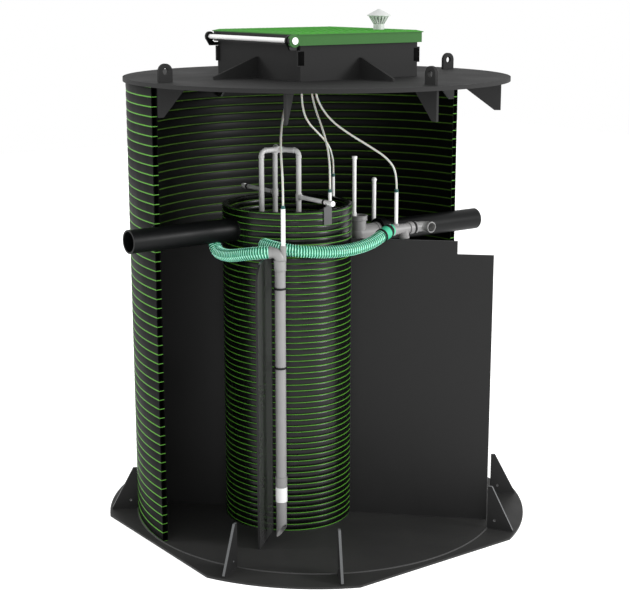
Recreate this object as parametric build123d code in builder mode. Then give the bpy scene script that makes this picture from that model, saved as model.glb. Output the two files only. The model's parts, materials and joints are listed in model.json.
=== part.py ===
from build123d import *
from math import atan2, cos, hypot, pi, radians, sin, tan
import os

# A cut-away packaged sewage treatment plant: a round spiral-wound plastic tank with its front
# half open, a smaller round tank inside it, dividing plates, an access riser with a hinged lid
# on top, and the pipes, air tubes and hoses of the process.
# Millimetres, +Z up. The origin is the centre of the tank on the underside of the base plate.
# The wall that remains is the half with Y above zero, so the open side faces -Y.

# Tank shell
base_thickness = 10
base_radius = 1060
base_half_flat = 955
wall_outer_radius = 918
wall_thickness = 30
wall_segments = 4
windings = 48
cell_skin = 5
cell_rib = 5
cell_depth = 26
total_height = 2194
top_thickness = 19
top_radius = 931
access_half = 300
access_corner = 40
seat_gap = 0.3

# Stiffening plates and lifting eyes
gusset_thickness = 12
base_gusset_length = 130
base_gusset_height = 218
base_gusset_blunt = 20
base_gusset_toe = 8
base_gusset_spread = 15
base_gusset_hole = 7
base_gusset_hole_out = 37
base_gusset_hole_up = 46
top_gusset_length = 146
top_gusset_long = 199
top_gusset_height = 138
top_gusset_blunt = 30
top_gusset_toe = 14
eye_thickness = 15
eye_width = 70
eye_height = 82
eye_inset = 40
eye_hole = 15

# Access riser
riser_half = 343
riser_height = 162
riser_thickness = 12
riser_gusset_length = 243
riser_gusset_height = 98
riser_gusset_toe = 14
tab_reach = 15
tab_height = 72
tab_drop = 24
slot_width = 22
slot_height = 64
slot_depth = 4

# Lid, hinge and vent
lid_clearance = 8
skirt_thickness = 7
skirt_height = 46
skirt_lap = 2
cover_overhang = 5
cover_thickness = 4
cover_rise = 7
cover_slope_width = 25
hinge_offset = 29
rod_radius = 11
rod_cap_radius = 16
rod_cap_length = 5
bracket_radius = 24
bracket_thickness = 12
bracket_foot = 30
bracket_arm = 16
knuckle_radius = 29
knuckle_thickness = 15
hinge_gap = 5
turn_gap = 0.5
vent_x = 230
vent_y = -190
vent_neck_radius = 26
vent_wall = 3
vent_neck_rise = 25
vent_cone_radius = 50
vent_cone_height = 39
vent_slots = 16
vent_slot_width = 7
vent_cap_radius = 57
vent_cap_height = 33
vent_cap_lip = 6

# Inner tank and dividing plates
inner_x = -178
inner_outer_radius = 316
inner_thickness = 30
inner_top = 1588
plate_thickness = 10
partition_top = 1420
partition_spare = 300
weir_drop = 64
weir_radius = 831
baffle_angle = -140
baffle_reach = 232
baffle_top = 1385
baffle_corner = 90

# Main pipes
pipe_radius = 55
pipe_wall = 8
inlet_z = 1488
inlet_end = -1053
outlet_z = 1388
outlet_start = 432
outlet_end = 1059
coupling_radius = 66
coupling_length = 44
tee_x = 262
tee_radius = 40
tee_wall = 3
tee_collar_radius = 45
tee_collar_height = 24
tee_top = 1482
tee_bottom = 1250
neck_radius = 45
sampling_radius = 10
sampling_socket_radius = 12.5
sampling_socket_height = 18
sampling_top = 1770
sampling_cap_radius = 13.5
sampling_cap_height = 14
breather_x = 405
breather_y = 53
breather_radius = 10.5
breather_top = 1645
breather_ball = 13.5

# Sludge airlift in front of the inner tank
airlift_x = -469
airlift_y = -356
airlift_radius = 25
airlift_wall = 3
airlift_foot = 38
foot_rise = 76
airlift_socket_radius = 28
airlift_socket_low = 298
airlift_socket_high = 349
sleeve_low = 226
elbow_z = 1428
elbow_bend = 36
elbow_reach = 51
elbow_angle = 140
elbow_socket = 46
boss_radius = 14
boss_out = 15
boss_angle = -40
boss_top = 1460
foot_angle = -78
clamp_levels = (879, 1256)
clamp_radius = 29
clamp_height = 9
clamp_arm = 8

# Air tubes and their hose connectors
lift_tube_radius = 10.2
lift_tube_top = 1630
air_tube_radius = 8
rear_tube_x = 158
rear_tube_y = 74
rear_tube_top = 1680
front_tube_x = -115
front_tube_y = -263
front_tube_top = 1664
connector_radius = 9
connector_height = 14

# Aerator manifold in the inner tank
leg_radius = 12.5
leg_places = ((-170, -86), (-170, 113), (-318, 13))
manifold_z = 1848
manifold_socket_radius = 15
manifold_bend = 24
side_pipe_z = 1625
side_pipe_radius = 10.5
side_pipe_front = -342
side_pipe_back = 381
side_cap_radius = 13
side_cap_length = 18
ring_front_y = -294
ring_back_y = 356
ring_radius = 14.5
ring_length = 9
hook_width = 45
hook_thickness = 5
hook_drop = 66
hook_rise = 18
clip_width = 22

# Delivery fitting at the right of the inner tank
delivery_y = -347
delivery_z = 1461
delivery_left = 196
delivery_right = 322
delivery_radius = 25
delivery_wall = 3
delivery_bell_radius = 30
delivery_bell_length = 22
delivery_stub_x = 273
delivery_stub_drop = 46
delivery_stub_radius = 24.5
delivery_boss_radius = 14
delivery_boss_rise = 5
delivery_tube_x = 223
delivery_tube_radius = 8.7
delivery_tube_top = 1645
delivery_ring_length = 14
delivery_bend = 34
delivery_elbow_x = 407
delivery_elbow_reach = 51
cuff_radius = 29
cuff_length = 38
cuff_angle = 21
clamp_ring_radius = 32
clamp_ring_length = 10

# Hoses
air_hose_radius = 5
spiral_hose_radius = 30
gland_radius = 9
gland_length = 16

# Values worked out from the sizes above
wall_inner_radius = wall_outer_radius - wall_thickness
wall_bottom = base_thickness
wall_top = total_height - top_thickness
inner_radius = inner_outer_radius - inner_thickness
winding_pitch = (wall_top - wall_bottom) / windings
riser_top = total_height + riser_height
skirt_inner = riser_half + lid_clearance
skirt_outer = skirt_inner + skirt_thickness
skirt_bottom = riser_top - skirt_lap
skirt_top = skirt_bottom + skirt_height
cover_half = skirt_outer + cover_overhang
cover_flat = cover_half - cover_slope_width
cover_top = skirt_top + cover_thickness + cover_rise
hinge_x = -(skirt_outer + hinge_offset)
hinge_z = skirt_bottom + skirt_height / 2 - 1
bracket_y = riser_half - riser_thickness - bracket_thickness - 2
far_bracket_y = riser_half + seat_gap
knuckle_y = riser_half + hinge_gap
inner_left = inner_x - inner_outer_radius
delivery_top = delivery_z + delivery_radius + delivery_boss_rise


def radial_plane(angle, x=0, y=0):
    """Upright plane through (x, y) whose first axis points outwards at the angle."""
    a = radians(angle)
    return Plane(origin=(x, y, 0), x_dir=(cos(a), sin(a), 0), z_dir=(sin(a), -cos(a), 0))


def finish(part, label):
    part.label = label
    export_step(part, f"parts/{label}.step")


os.makedirs("parts", exist_ok=True)

# Base plate: a disc cut by four straight sides
with BuildPart() as base_plate:
    with BuildSketch():
        Circle(base_radius)
        Rectangle(2 * base_half_flat, 2 * base_half_flat, mode=Mode.INTERSECT)
    extrude(amount=base_thickness)
finish(base_plate.part, "base_plate")

# Base gussets: two triangular plates at each corner of the base, outside the wall
base_gusset_inner = wall_outer_radius + seat_gap
base_gusset_outline = [
    (base_gusset_inner, base_thickness),
    (base_gusset_inner + base_gusset_length, base_thickness),
    (base_gusset_inner + base_gusset_length, base_thickness + base_gusset_toe),
    (base_gusset_inner + base_gusset_blunt, base_thickness + base_gusset_height),
    (base_gusset_inner, base_thickness + base_gusset_height),
]
base_gusset_hole_at = (base_gusset_inner + base_gusset_hole_out, base_thickness + base_gusset_hole_up)
with BuildPart() as base_gussets:
    for corner in (45, 135, 225, 315):
        for side in (-1, 1):
            plane = radial_plane(corner + side * base_gusset_spread)
            with BuildSketch(plane):
                with BuildLine():
                    Polyline(*base_gusset_outline, close=True)
                make_face()
                with Locations(base_gusset_hole_at):
                    Circle(base_gusset_hole, mode=Mode.SUBTRACT)
            extrude(amount=gusset_thickness / 2, both=True)
finish(base_gussets.part, "base_gussets")


# Tank wall: half a cylinder in segments. The two cut ends show the hollow cells of the winding.
def wall_segment(number, name):
    arc = 180 / wall_segments
    with BuildPart() as segment:
        with BuildSketch(radial_plane(number * arc)):
            with Locations(((wall_inner_radius + wall_outer_radius) / 2, (wall_bottom + wall_top) / 2)):
                Rectangle(wall_thickness, wall_top - wall_bottom)
        revolve(axis=Axis.Z, revolution_arc=arc)
        for sign, pipe_z, first in ((1, outlet_z, 0), (-1, inlet_z, wall_segments - 1)):
            if number != first:
                continue
            with Locations(Location((sign * wall_outer_radius, 0, pipe_z), (0, 90, 0))):
                Cylinder(pipe_radius + seat_gap, 3 * wall_thickness, mode=Mode.SUBTRACT)
            levels = [wall_bottom + (i + 0.5) * winding_pitch for i in range(windings)]
            free = [z for z in levels if abs(z - pipe_z) > pipe_radius + winding_pitch / 2]
            with BuildSketch(Plane.XZ):
                with Locations(*[(sign * (wall_inner_radius + wall_thickness / 2), z) for z in free]):
                    Rectangle(wall_thickness - 2 * cell_skin, winding_pitch - cell_rib)
            extrude(amount=-cell_depth, mode=Mode.SUBTRACT)
    finish(segment.part, name)


wall_names = ("tank_wall_right", "tank_wall_back_right", "tank_wall_back_left", "tank_wall_left")
for number, name in enumerate(wall_names):
    wall_segment(number, name)

# Top plate with the access opening under the riser
with BuildPart() as top_plate:
    with BuildSketch(Plane.XY.offset(wall_top)):
        Circle(top_radius)
        RectangleRounded(2 * access_half, 2 * access_half, access_corner, mode=Mode.SUBTRACT)
    extrude(amount=top_thickness)
finish(top_plate.part, "top_plate")

# Top gussets: eight plates under the top plate, against the inside of the wall, the four between
# the lifting eyes longer than the rest
top_gusset_outer = wall_inner_radius - seat_gap
with BuildPart() as top_gussets:
    for index in range(8):
        length = top_gusset_long if index % 2 else top_gusset_length
        with BuildSketch(radial_plane(index * 45)):
            with BuildLine():
                Polyline(
                    (top_gusset_outer, wall_top),
                    (top_gusset_outer - length, wall_top),
                    (top_gusset_outer - length, wall_top - top_gusset_toe),
                    (top_gusset_outer - top_gusset_blunt, wall_top - top_gusset_height),
                    (top_gusset_outer, wall_top - top_gusset_height),
                    close=True,
                )
            make_face()
        extrude(amount=gusset_thickness / 2, both=True)
finish(top_gussets.part, "top_gussets")

# Lifting eyes: four upright plates with a round head and a hole
eye_center = wall_outer_radius - eye_inset - eye_width / 2
eye_head = total_height + eye_height - eye_width / 2
with BuildPart() as lifting_eyes:
    for index in range(4):
        with BuildSketch(radial_plane(index * 90)):
            with Locations((eye_center, (total_height + eye_head) / 2)):
                Rectangle(eye_width, eye_head - total_height)
            with Locations((eye_center, eye_head)):
                Circle(eye_width / 2)
                Circle(eye_hole, mode=Mode.SUBTRACT)
        extrude(amount=eye_thickness / 2, both=True)
finish(lifting_eyes.part, "lifting_eyes")

# Riser: a square box of four plates. The front and back plates end in tabs that stand out beyond
# the side plates, and beside each tab a slot is let into the face.
tab_middle = riser_top - tab_drop - tab_height / 2
riser_inside = riser_half - riser_thickness
with BuildPart() as riser_box:
    with BuildSketch(Plane.XY.offset(total_height)):
        Rectangle(2 * riser_half, 2 * riser_half)
        Rectangle(2 * riser_inside, 2 * riser_inside, mode=Mode.SUBTRACT)
    extrude(amount=riser_height)
    with BuildSketch(Plane.XY.offset(tab_middle - tab_height / 2)):
        with GridLocations(2 * riser_half + tab_reach, 2 * riser_half - riser_thickness, 2, 2):
            Rectangle(tab_reach, riser_thickness)
    extrude(amount=tab_height)
    with BuildSketch(Plane.XY.offset(tab_middle - slot_height / 2)):
        with GridLocations(2 * riser_half - slot_width, 2 * riser_half - slot_depth, 2, 2):
            Rectangle(slot_width, slot_depth)
    extrude(amount=slot_height, mode=Mode.SUBTRACT)
finish(riser_box.part, "riser_box")

# Riser gussets: a triangular plate square to the middle of each side
riser_gusset_inner = riser_half + seat_gap
riser_gusset_outline = [
    (riser_gusset_inner, total_height),
    (riser_gusset_inner + riser_gusset_length, total_height),
    (riser_gusset_inner + riser_gusset_length, total_height + riser_gusset_toe),
    (riser_gusset_inner + gusset_thickness, total_height + riser_gusset_height),
    (riser_gusset_inner, total_height + riser_gusset_height),
]
with BuildPart() as riser_gussets:
    for index in range(4):
        with BuildSketch(radial_plane(index * 90)):
            with BuildLine():
                Polyline(*riser_gusset_outline, close=True)
            make_face()
        extrude(amount=gusset_thickness / 2, both=True)
finish(riser_gussets.part, "riser_gussets")

# Lid skirt with its hinge knuckle at the front end of the hinge
with BuildPart() as lid_skirt:
    with BuildSketch(Plane.XY.offset(skirt_bottom)):
        Rectangle(2 * skirt_outer, 2 * skirt_outer)
    extrude(amount=skirt_height)
    with BuildSketch(Plane.XZ.offset(knuckle_y + knuckle_thickness / 2)):
        with Locations((hinge_x, hinge_z)):
            Circle(knuckle_radius)
        with Locations(((hinge_x - skirt_outer) / 2, (hinge_z + skirt_top) / 2)):
            Rectangle(-skirt_outer - hinge_x, skirt_top - hinge_z)
    extrude(amount=knuckle_thickness / 2, both=True)
    with BuildSketch(Plane.XY.offset(skirt_bottom)):
        Rectangle(2 * skirt_inner, 2 * skirt_inner)
    extrude(amount=skirt_height, mode=Mode.SUBTRACT)
    with BuildSketch(Plane.XZ.offset(knuckle_y + knuckle_thickness / 2)):
        with Locations((hinge_x, hinge_z)):
            Circle(rod_radius + seat_gap)
    extrude(amount=knuckle_thickness, both=True, mode=Mode.SUBTRACT)
finish(lid_skirt.part, "lid_skirt")


# Lid cover: a flat sheet with a low raised middle, hollow underneath
def raised_sheet(half, low, shoulder, top):
    outline = [(-half, low), (half, low), (half, shoulder), (half - cover_slope_width, top),
               (cover_slope_width - half, top), (-half, shoulder)]
    with BuildPart() as sheet:
        for plane, mode in ((Plane.XZ, Mode.ADD), (Plane.YZ, Mode.INTERSECT)):
            with BuildSketch(plane):
                with BuildLine():
                    Polyline(*outline, close=True)
                make_face()
            extrude(amount=half + 1, both=True, mode=mode)
    return sheet.part


with BuildPart() as lid_cover:
    add(raised_sheet(cover_half, skirt_top, skirt_top + cover_thickness, cover_top))
    add(
        raised_sheet(skirt_inner, skirt_top - cover_thickness, skirt_top, cover_top - cover_thickness),
        mode=Mode.SUBTRACT,
    )
    with BuildSketch(Plane.XY.offset(skirt_bottom)):
        with Locations((vent_x, vent_y)):
            Circle(vent_neck_radius + seat_gap)
    extrude(amount=2 * skirt_height, mode=Mode.SUBTRACT)
finish(lid_cover.part, "lid_cover")

# Hinge rod: fixed in the knuckle with its head outside, turning in the two brackets
rod_front = knuckle_y + knuckle_thickness
rod_back = far_bracket_y + bracket_thickness + 3
with BuildPart() as hinge_rod:
    with BuildSketch(Plane.XZ.offset(-rod_back)):
        with Locations((hinge_x, hinge_z)):
            Circle(rod_radius)
    extrude(amount=rod_front + rod_back)
    with BuildSketch(Plane.XZ.offset(rod_front)):
        with Locations((hinge_x, hinge_z)):
            Circle(rod_cap_radius)
    extrude(amount=rod_cap_length)
finish(hinge_rod.part, "hinge_rod")

# Hinge brackets: an eye on an arm to the left plate in front, and one to the back plate behind
arm_top = skirt_bottom - hinge_gap
arm_low = arm_top - bracket_arm
bracket_feet = (
    (-bracket_y - bracket_thickness, -riser_half - seat_gap),
    (far_bracket_y, -riser_half + bracket_foot),
)
with BuildPart() as hinge_brackets:
    for bracket_start, foot_x in bracket_feet:
        with BuildSketch(Plane.XZ.offset(-bracket_start)):
            with Locations((hinge_x, hinge_z)):
                Circle(bracket_radius)
            with BuildLine():
                Polyline(
                    (hinge_x - bracket_radius * 0.7, hinge_z - bracket_radius * 0.7),
                    (hinge_x + bracket_radius * 0.5, hinge_z - bracket_radius * 0.8),
                    (hinge_x + bracket_radius, arm_top),
                    (foot_x, arm_top),
                    (foot_x, arm_low),
                    (hinge_x, arm_low),
                    close=True,
                )
            make_face()
            with Locations((hinge_x, hinge_z)):
                Circle(rod_radius + turn_gap, mode=Mode.SUBTRACT)
        extrude(amount=-bracket_thickness)
finish(hinge_brackets.part, "hinge_brackets")

# Vent: a neck through the lid, a slotted cone and a conical cap
vent_cone_low = cover_top + vent_neck_rise
vent_cone_high = vent_cone_low + vent_cone_height
with BuildPart() as vent_body:
    with BuildSketch(radial_plane(0, vent_x, vent_y)):
        with BuildLine():
            Polyline(
                (vent_neck_radius, skirt_top - cover_thickness),
                (vent_neck_radius, vent_cone_low),
                (vent_cone_radius, vent_cone_high),
                (vent_cone_radius - vent_wall, vent_cone_high),
                (vent_neck_radius - vent_wall, vent_cone_low),
                (vent_neck_radius - vent_wall, skirt_top - cover_thickness),
                close=True,
            )
        make_face()
    revolve(axis=Axis((vent_x, vent_y, 0), (0, 0, 1)))
    with BuildSketch(Plane.XY.offset(vent_cone_low + vent_wall)):
        with Locations((vent_x, vent_y)):
            with PolarLocations(vent_cone_radius / 2, vent_slots):
                Rectangle(vent_cone_radius + 2 * vent_wall, vent_slot_width)
    extrude(amount=vent_cone_height - 2 * vent_wall, mode=Mode.SUBTRACT)
finish(vent_body.part, "vent_body")

cap_dome = vent_cap_height - vent_cap_lip
cap_curve = [
    (
        vent_cap_radius * cos(radians(angle)),
        vent_cone_high + vent_cap_lip + cap_dome * sin(radians(angle)) ** 2,
    )
    for angle in range(0, 90, 15)
]
cap_curve.append((0, vent_cone_high + vent_cap_height))
with BuildPart() as vent_cap:
    with BuildSketch(radial_plane(0, vent_x, vent_y)):
        with BuildLine():
            Polyline((0, vent_cone_high), (vent_cap_radius, vent_cone_high), *cap_curve, close=True)
        make_face()
    revolve(axis=Axis((vent_x, vent_y, 0), (0, 0, 1)))
finish(vent_cap.part, "vent_cap")


# Inner tank: four wound quarters standing on the base plate
def inner_quarter(start, name):
    with BuildPart() as quarter:
        with BuildSketch(radial_plane(start, inner_x)):
            with Locations((inner_radius + inner_thickness / 2, (base_thickness + inner_top) / 2)):
                Rectangle(inner_thickness, inner_top - base_thickness)
        revolve(axis=Axis((inner_x, 0, 0), (0, 0, 1)), revolution_arc=90)
        if start == 135:
            with Locations(Location((inner_left, 0, inlet_z), (0, 90, 0))):
                Cylinder(pipe_radius + seat_gap, 4 * inner_thickness, mode=Mode.SUBTRACT)
    finish(quarter.part, name)


for start, name in (
    (-45, "inner_tank_right"),
    (45, "inner_tank_back"),
    (135, "inner_tank_left"),
    (225, "inner_tank_front"),
):
    inner_quarter(start, name)


# Dividing plates between the inner tank and the outer wall
def dividing_plate(angle, outline):
    with BuildPart() as plate:
        with BuildSketch(radial_plane(angle, inner_x)):
            with BuildLine():
                Polyline(*outline, close=True)
            make_face()
        extrude(amount=plate_thickness / 2, both=True)
        with Locations((0, 0, partition_top / 2)):
            Cylinder(wall_inner_radius - seat_gap, 2 * partition_top, mode=Mode.INTERSECT)
        with Locations((inner_x, 0, partition_top / 2)):
            Cylinder(inner_outer_radius + seat_gap, 2 * partition_top, mode=Mode.SUBTRACT)
    return plate.part


right_outline = [
    (inner_radius, base_thickness),
    (wall_outer_radius + partition_spare, base_thickness),
    (wall_outer_radius + partition_spare, partition_top - weir_drop),
    (weir_radius, partition_top - weir_drop),
    (weir_radius, partition_top),
    (inner_radius, partition_top),
]
finish(dividing_plate(-45, right_outline), "partition_right")
left_outline = [
    (inner_radius, base_thickness),
    (wall_outer_radius + partition_spare, base_thickness),
    (wall_outer_radius + partition_spare, partition_top),
    (inner_radius, partition_top),
]
finish(dividing_plate(135, left_outline), "partition_left")

# Front baffle: a narrow glossy plate with a rounded top corner
baffle_outer = inner_outer_radius + baffle_reach
with BuildPart() as front_baffle:
    with BuildSketch(radial_plane(baffle_angle, inner_x)):
        with Locations(((inner_radius + baffle_outer) / 2, (base_thickness + baffle_top) / 2)):
            Rectangle(baffle_outer - inner_radius, baffle_top - base_thickness)
    extrude(amount=plate_thickness / 2, both=True)
    corner = front_baffle.edges().filter_by(lambda e: e.length < 2 * plate_thickness)
    corner = corner.group_by(Axis.Z)[-1].sort_by(Axis.Y)[0]
    fillet(corner, baffle_corner)
    with Locations((inner_x, 0, baffle_top / 2)):
        Cylinder(inner_outer_radius + seat_gap, 2 * baffle_top, mode=Mode.SUBTRACT)
finish(front_baffle.part, "front_baffle")


# Inlet and outlet pipes, along X
def level_pipe(start, end, y, z, radius, wall):
    with BuildPart() as pipe:
        with BuildSketch(Plane.YZ.offset(start)):
            with Locations((y, z)):
                Circle(radius)
                Circle(radius - wall, mode=Mode.SUBTRACT)
        extrude(amount=end - start)
    return pipe.part


inlet_inner_end = inner_x - inner_radius
inlet_pipe = level_pipe(inlet_end, inlet_inner_end, 0, inlet_z, pipe_radius, pipe_wall)
finish(inlet_pipe, "inlet_pipe")
finish(level_pipe(outlet_start, outlet_end, 0, outlet_z, pipe_radius, pipe_wall), "outlet_pipe")
coupling_start = outlet_start - coupling_length
with BuildPart() as outlet_coupling:
    with BuildSketch(Plane.YZ.offset(coupling_start)):
        with Locations((0, outlet_z)):
            Circle(coupling_radius)
            Circle(neck_radius - tee_wall, mode=Mode.SUBTRACT)
    extrude(amount=coupling_length)
finish(outlet_coupling.part, "outlet_coupling")

# Outlet tee: an open-topped dip pipe with a side neck to the coupling
with BuildPart() as outlet_tee:
    with BuildSketch(Plane.XY.offset(tee_bottom)):
        with Locations((tee_x, 0)):
            Circle(tee_radius)
    extrude(amount=tee_top - tee_bottom)
    with BuildSketch(Plane.XY.offset(tee_top - tee_collar_height)):
        with Locations((tee_x, 0)):
            Circle(tee_collar_radius)
    extrude(amount=tee_collar_height)
    with BuildSketch(Plane.YZ.offset(tee_x)):
        with Locations((0, outlet_z)):
            Circle(neck_radius)
    extrude(amount=coupling_start - tee_x)
    with Locations((tee_x, 0, outlet_z)):
        Sphere(neck_radius)
    with BuildSketch(Plane.XY.offset(tee_bottom)):
        with Locations((tee_x, 0)):
            Circle(tee_radius - tee_wall)
    extrude(amount=tee_top - tee_bottom, mode=Mode.SUBTRACT)
    with BuildSketch(Plane.YZ.offset(tee_x)):
        with Locations((0, outlet_z)):
            Circle(neck_radius - 2 * tee_wall)
    extrude(amount=coupling_start - tee_x, mode=Mode.SUBTRACT)
finish(outlet_tee.part, "outlet_tee")

# Sampling tube: stands against the inside of the tee
sampling_x = tee_x - tee_radius + tee_wall + sampling_radius + seat_gap
with BuildPart() as sampling_tube:
    with BuildSketch(Plane.XY.offset(tee_bottom)):
        with Locations((sampling_x, 0)):
            Circle(sampling_radius)
    extrude(amount=sampling_top - tee_bottom)
    with BuildSketch(Plane.XY.offset(tee_top)):
        with Locations((sampling_x, 0)):
            Circle(sampling_socket_radius)
    extrude(amount=sampling_socket_height)
    with BuildSketch(Plane.XY.offset(sampling_top)):
        with Locations((sampling_x, 0)):
            Circle(sampling_cap_radius)
    extrude(amount=sampling_cap_height)
finish(sampling_tube.part, "sampling_tube")

# Breather tube with a ball cap, on the coupling
with BuildPart() as breather_tube:
    with BuildSketch(Plane.XY.offset(outlet_z)):
        with Locations((breather_x, breather_y)):
            Circle(breather_radius)
    extrude(amount=breather_top - outlet_z)
    with Locations((breather_x, breather_y, breather_top)):
        Sphere(breather_ball)
    with Locations(Location((outlet_start, 0, outlet_z), (0, 90, 0))):
        Cylinder(coupling_radius + seat_gap, 4 * coupling_length, mode=Mode.SUBTRACT)
finish(breather_tube.part, "breather_tube")

# Airlift pipe: pipe, socket and an obliquely cut foot
foot_direction = radians(foot_angle)
with BuildPart() as airlift_pipe:
    with BuildSketch(Plane.XY.offset(airlift_foot)):
        with Locations((airlift_x, airlift_y)):
            Circle(airlift_radius)
    extrude(amount=elbow_z - elbow_socket - airlift_foot - elbow_bend)
    with BuildSketch(Plane.XY.offset(airlift_socket_low)):
        with Locations((airlift_x, airlift_y)):
            Circle(airlift_socket_radius)
    extrude(amount=airlift_socket_high - airlift_socket_low)
    with BuildSketch(Plane.XY.offset(airlift_foot)):
        with Locations((airlift_x, airlift_y)):
            Circle(airlift_radius - airlift_wall)
    extrude(amount=elbow_z, mode=Mode.SUBTRACT)
    foot_plane = Plane(
        origin=(airlift_x, airlift_y, airlift_foot + foot_rise / 2),
        x_dir=(-sin(foot_direction), cos(foot_direction), 0),
        z_dir=(
            cos(foot_direction) * foot_rise,
            sin(foot_direction) * foot_rise,
            -2 * airlift_radius,
        ),
    )
    with BuildSketch(foot_plane):
        Rectangle(4 * airlift_radius, 6 * airlift_radius)
    extrude(amount=foot_rise, mode=Mode.SUBTRACT)
finish(airlift_pipe.part, "airlift_pipe")
sleeve_inner = airlift_radius + seat_gap
with BuildPart() as airlift_sleeve:
    with BuildSketch(Plane.XY.offset(sleeve_low)):
        with Locations((airlift_x, airlift_y)):
            Circle(airlift_socket_radius)
            Circle(sleeve_inner, mode=Mode.SUBTRACT)
    extrude(amount=airlift_socket_low - sleeve_low)
finish(airlift_sleeve.part, "airlift_sleeve")

# Airlift elbow: from upright to level, with a boss at its shoulder for the air tube
elbow_dir = (cos(radians(elbow_angle)), sin(radians(elbow_angle)))
elbow_foot_z = elbow_z - elbow_socket - elbow_bend
elbow_end = (airlift_x + elbow_reach * elbow_dir[0], airlift_y + elbow_reach * elbow_dir[1])
elbow_turn = (airlift_x + elbow_bend * elbow_dir[0], airlift_y + elbow_bend * elbow_dir[1])
lift_tube_x = airlift_x + boss_out * cos(radians(boss_angle))
lift_tube_y = airlift_y + boss_out * sin(radians(boss_angle))


def elbow_body(radius):
    with BuildPart() as body:
        with BuildSketch(Plane.XY.offset(elbow_foot_z)):
            with Locations((airlift_x, airlift_y)):
                Circle(radius)
        extrude(amount=elbow_socket)
        with BuildSketch(Plane.XY.offset(elbow_z - elbow_bend)):
            with Locations((airlift_x, airlift_y)):
                Circle(radius)
        revolve(
            axis=Axis((*elbow_turn, elbow_z - elbow_bend), (-elbow_dir[1], elbow_dir[0], 0)),
            revolution_arc=90,
        )
        with BuildSketch(Plane(origin=(*elbow_turn, elbow_z), z_dir=(*elbow_dir, 0))):
            Circle(radius)
        extrude(amount=elbow_reach - elbow_bend)
    return body.part


with BuildPart() as airlift_elbow:
    add(elbow_body(airlift_radius))
    with BuildSketch(Plane.XY.offset(elbow_foot_z)):
        with Locations((airlift_x, airlift_y)):
            Circle(airlift_socket_radius)
    extrude(amount=elbow_socket)
    with BuildSketch(Plane.XY.offset(elbow_z - elbow_bend)):
        with Locations((lift_tube_x, lift_tube_y)):
            Circle(boss_radius)
    extrude(amount=boss_top - elbow_z + elbow_bend)
    add(elbow_body(airlift_radius - airlift_wall), mode=Mode.SUBTRACT)
finish(airlift_elbow.part, "airlift_elbow")

# Pipe clamps: two bands, each on an arm that reaches back to the inner tank
arm_angle = atan2(-airlift_y, inner_x - airlift_x)
arm_length = hypot(inner_x - airlift_x, airlift_y) - inner_outer_radius - seat_gap
with BuildPart() as pipe_clamps:
    for level in clamp_levels:
        with BuildSketch(Plane.XY.offset(level)):
            with Locations((airlift_x, airlift_y)):
                Circle(clamp_radius)
        extrude(amount=clamp_height)
        arm_plane = Plane(
            origin=(airlift_x, airlift_y, level + clamp_height / 2),
            x_dir=(-sin(arm_angle), cos(arm_angle), 0),
            z_dir=(cos(arm_angle), sin(arm_angle), 0),
        )
        with BuildSketch(arm_plane):
            Rectangle(clamp_arm, clamp_height)
        extrude(amount=arm_length)
        with BuildSketch(Plane.XY.offset(level)):
            with Locations((airlift_x, airlift_y)):
                Circle(airlift_radius + seat_gap)
        extrude(amount=clamp_height, mode=Mode.SUBTRACT)
finish(pipe_clamps.part, "pipe_clamps")

# Air tubes: upright tubes that carry air down, each with a hose connector on top
tubes = (
    (lift_tube_x, lift_tube_y, boss_top, lift_tube_top, lift_tube_radius),
    (rear_tube_x, rear_tube_y, base_thickness, rear_tube_top, air_tube_radius),
    (front_tube_x, front_tube_y, base_thickness, front_tube_top, air_tube_radius),
    (delivery_tube_x, delivery_y, delivery_top, delivery_tube_top, delivery_tube_radius),
)
with BuildPart() as air_tubes:
    for x, y, low, high, radius in tubes:
        with BuildSketch(Plane.XY.offset(low)):
            with Locations((x, y)):
                Circle(radius)
        extrude(amount=high - low)
finish(air_tubes.part, "air_tubes")

# Manifold: three legs joined at the top by arms from a middle tee
leg_middle = (sum(p[0] for p in leg_places) / 3, sum(p[1] for p in leg_places) / 3)
with BuildPart() as aerator_manifold:
    for x, y in leg_places:
        arm = atan2(leg_middle[1] - y, leg_middle[0] - x)
        arm_run = hypot(leg_middle[1] - y, leg_middle[0] - x) - manifold_bend
        turn = (x + manifold_bend * cos(arm), y + manifold_bend * sin(arm))
        with BuildSketch(Plane.XY.offset(base_thickness)):
            with Locations((x, y)):
                Circle(leg_radius)
        extrude(amount=manifold_z - manifold_bend - base_thickness)
        with BuildSketch(Plane.XY.offset(manifold_z - manifold_bend)):
            with Locations((x, y)):
                Circle(leg_radius)
        revolve(
            axis=Axis((*turn, manifold_z - manifold_bend), (-sin(arm), cos(arm), 0)),
            revolution_arc=90,
        )
        with BuildSketch(Plane(origin=(*turn, manifold_z), z_dir=(cos(arm), sin(arm), 0))):
            Circle(leg_radius)
        extrude(amount=arm_run)
    with Locations((leg_middle[0], leg_middle[1], manifold_z)):
        Cylinder(manifold_socket_radius, 2 * manifold_socket_radius)
finish(aerator_manifold.part, "aerator_manifold")

# Side pipes from two of the legs over the rim, with end caps
with BuildPart() as side_pipes:
    for leg, end in ((leg_places[0], side_pipe_front), (leg_places[1], side_pipe_back)):
        sign = 1 if end > leg[1] else -1
        start = leg[1] + sign * (leg_radius + seat_gap)
        with BuildSketch(Plane.XZ.offset(-start)):
            with Locations((leg[0], side_pipe_z)):
                Circle(side_pipe_radius)
        extrude(amount=-(end - start))
        with BuildSketch(Plane.XZ.offset(-end)):
            with Locations((leg[0], side_pipe_z)):
                Circle(side_cap_radius)
        extrude(amount=-sign * side_cap_length)
finish(side_pipes.part, "side_pipes")

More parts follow.
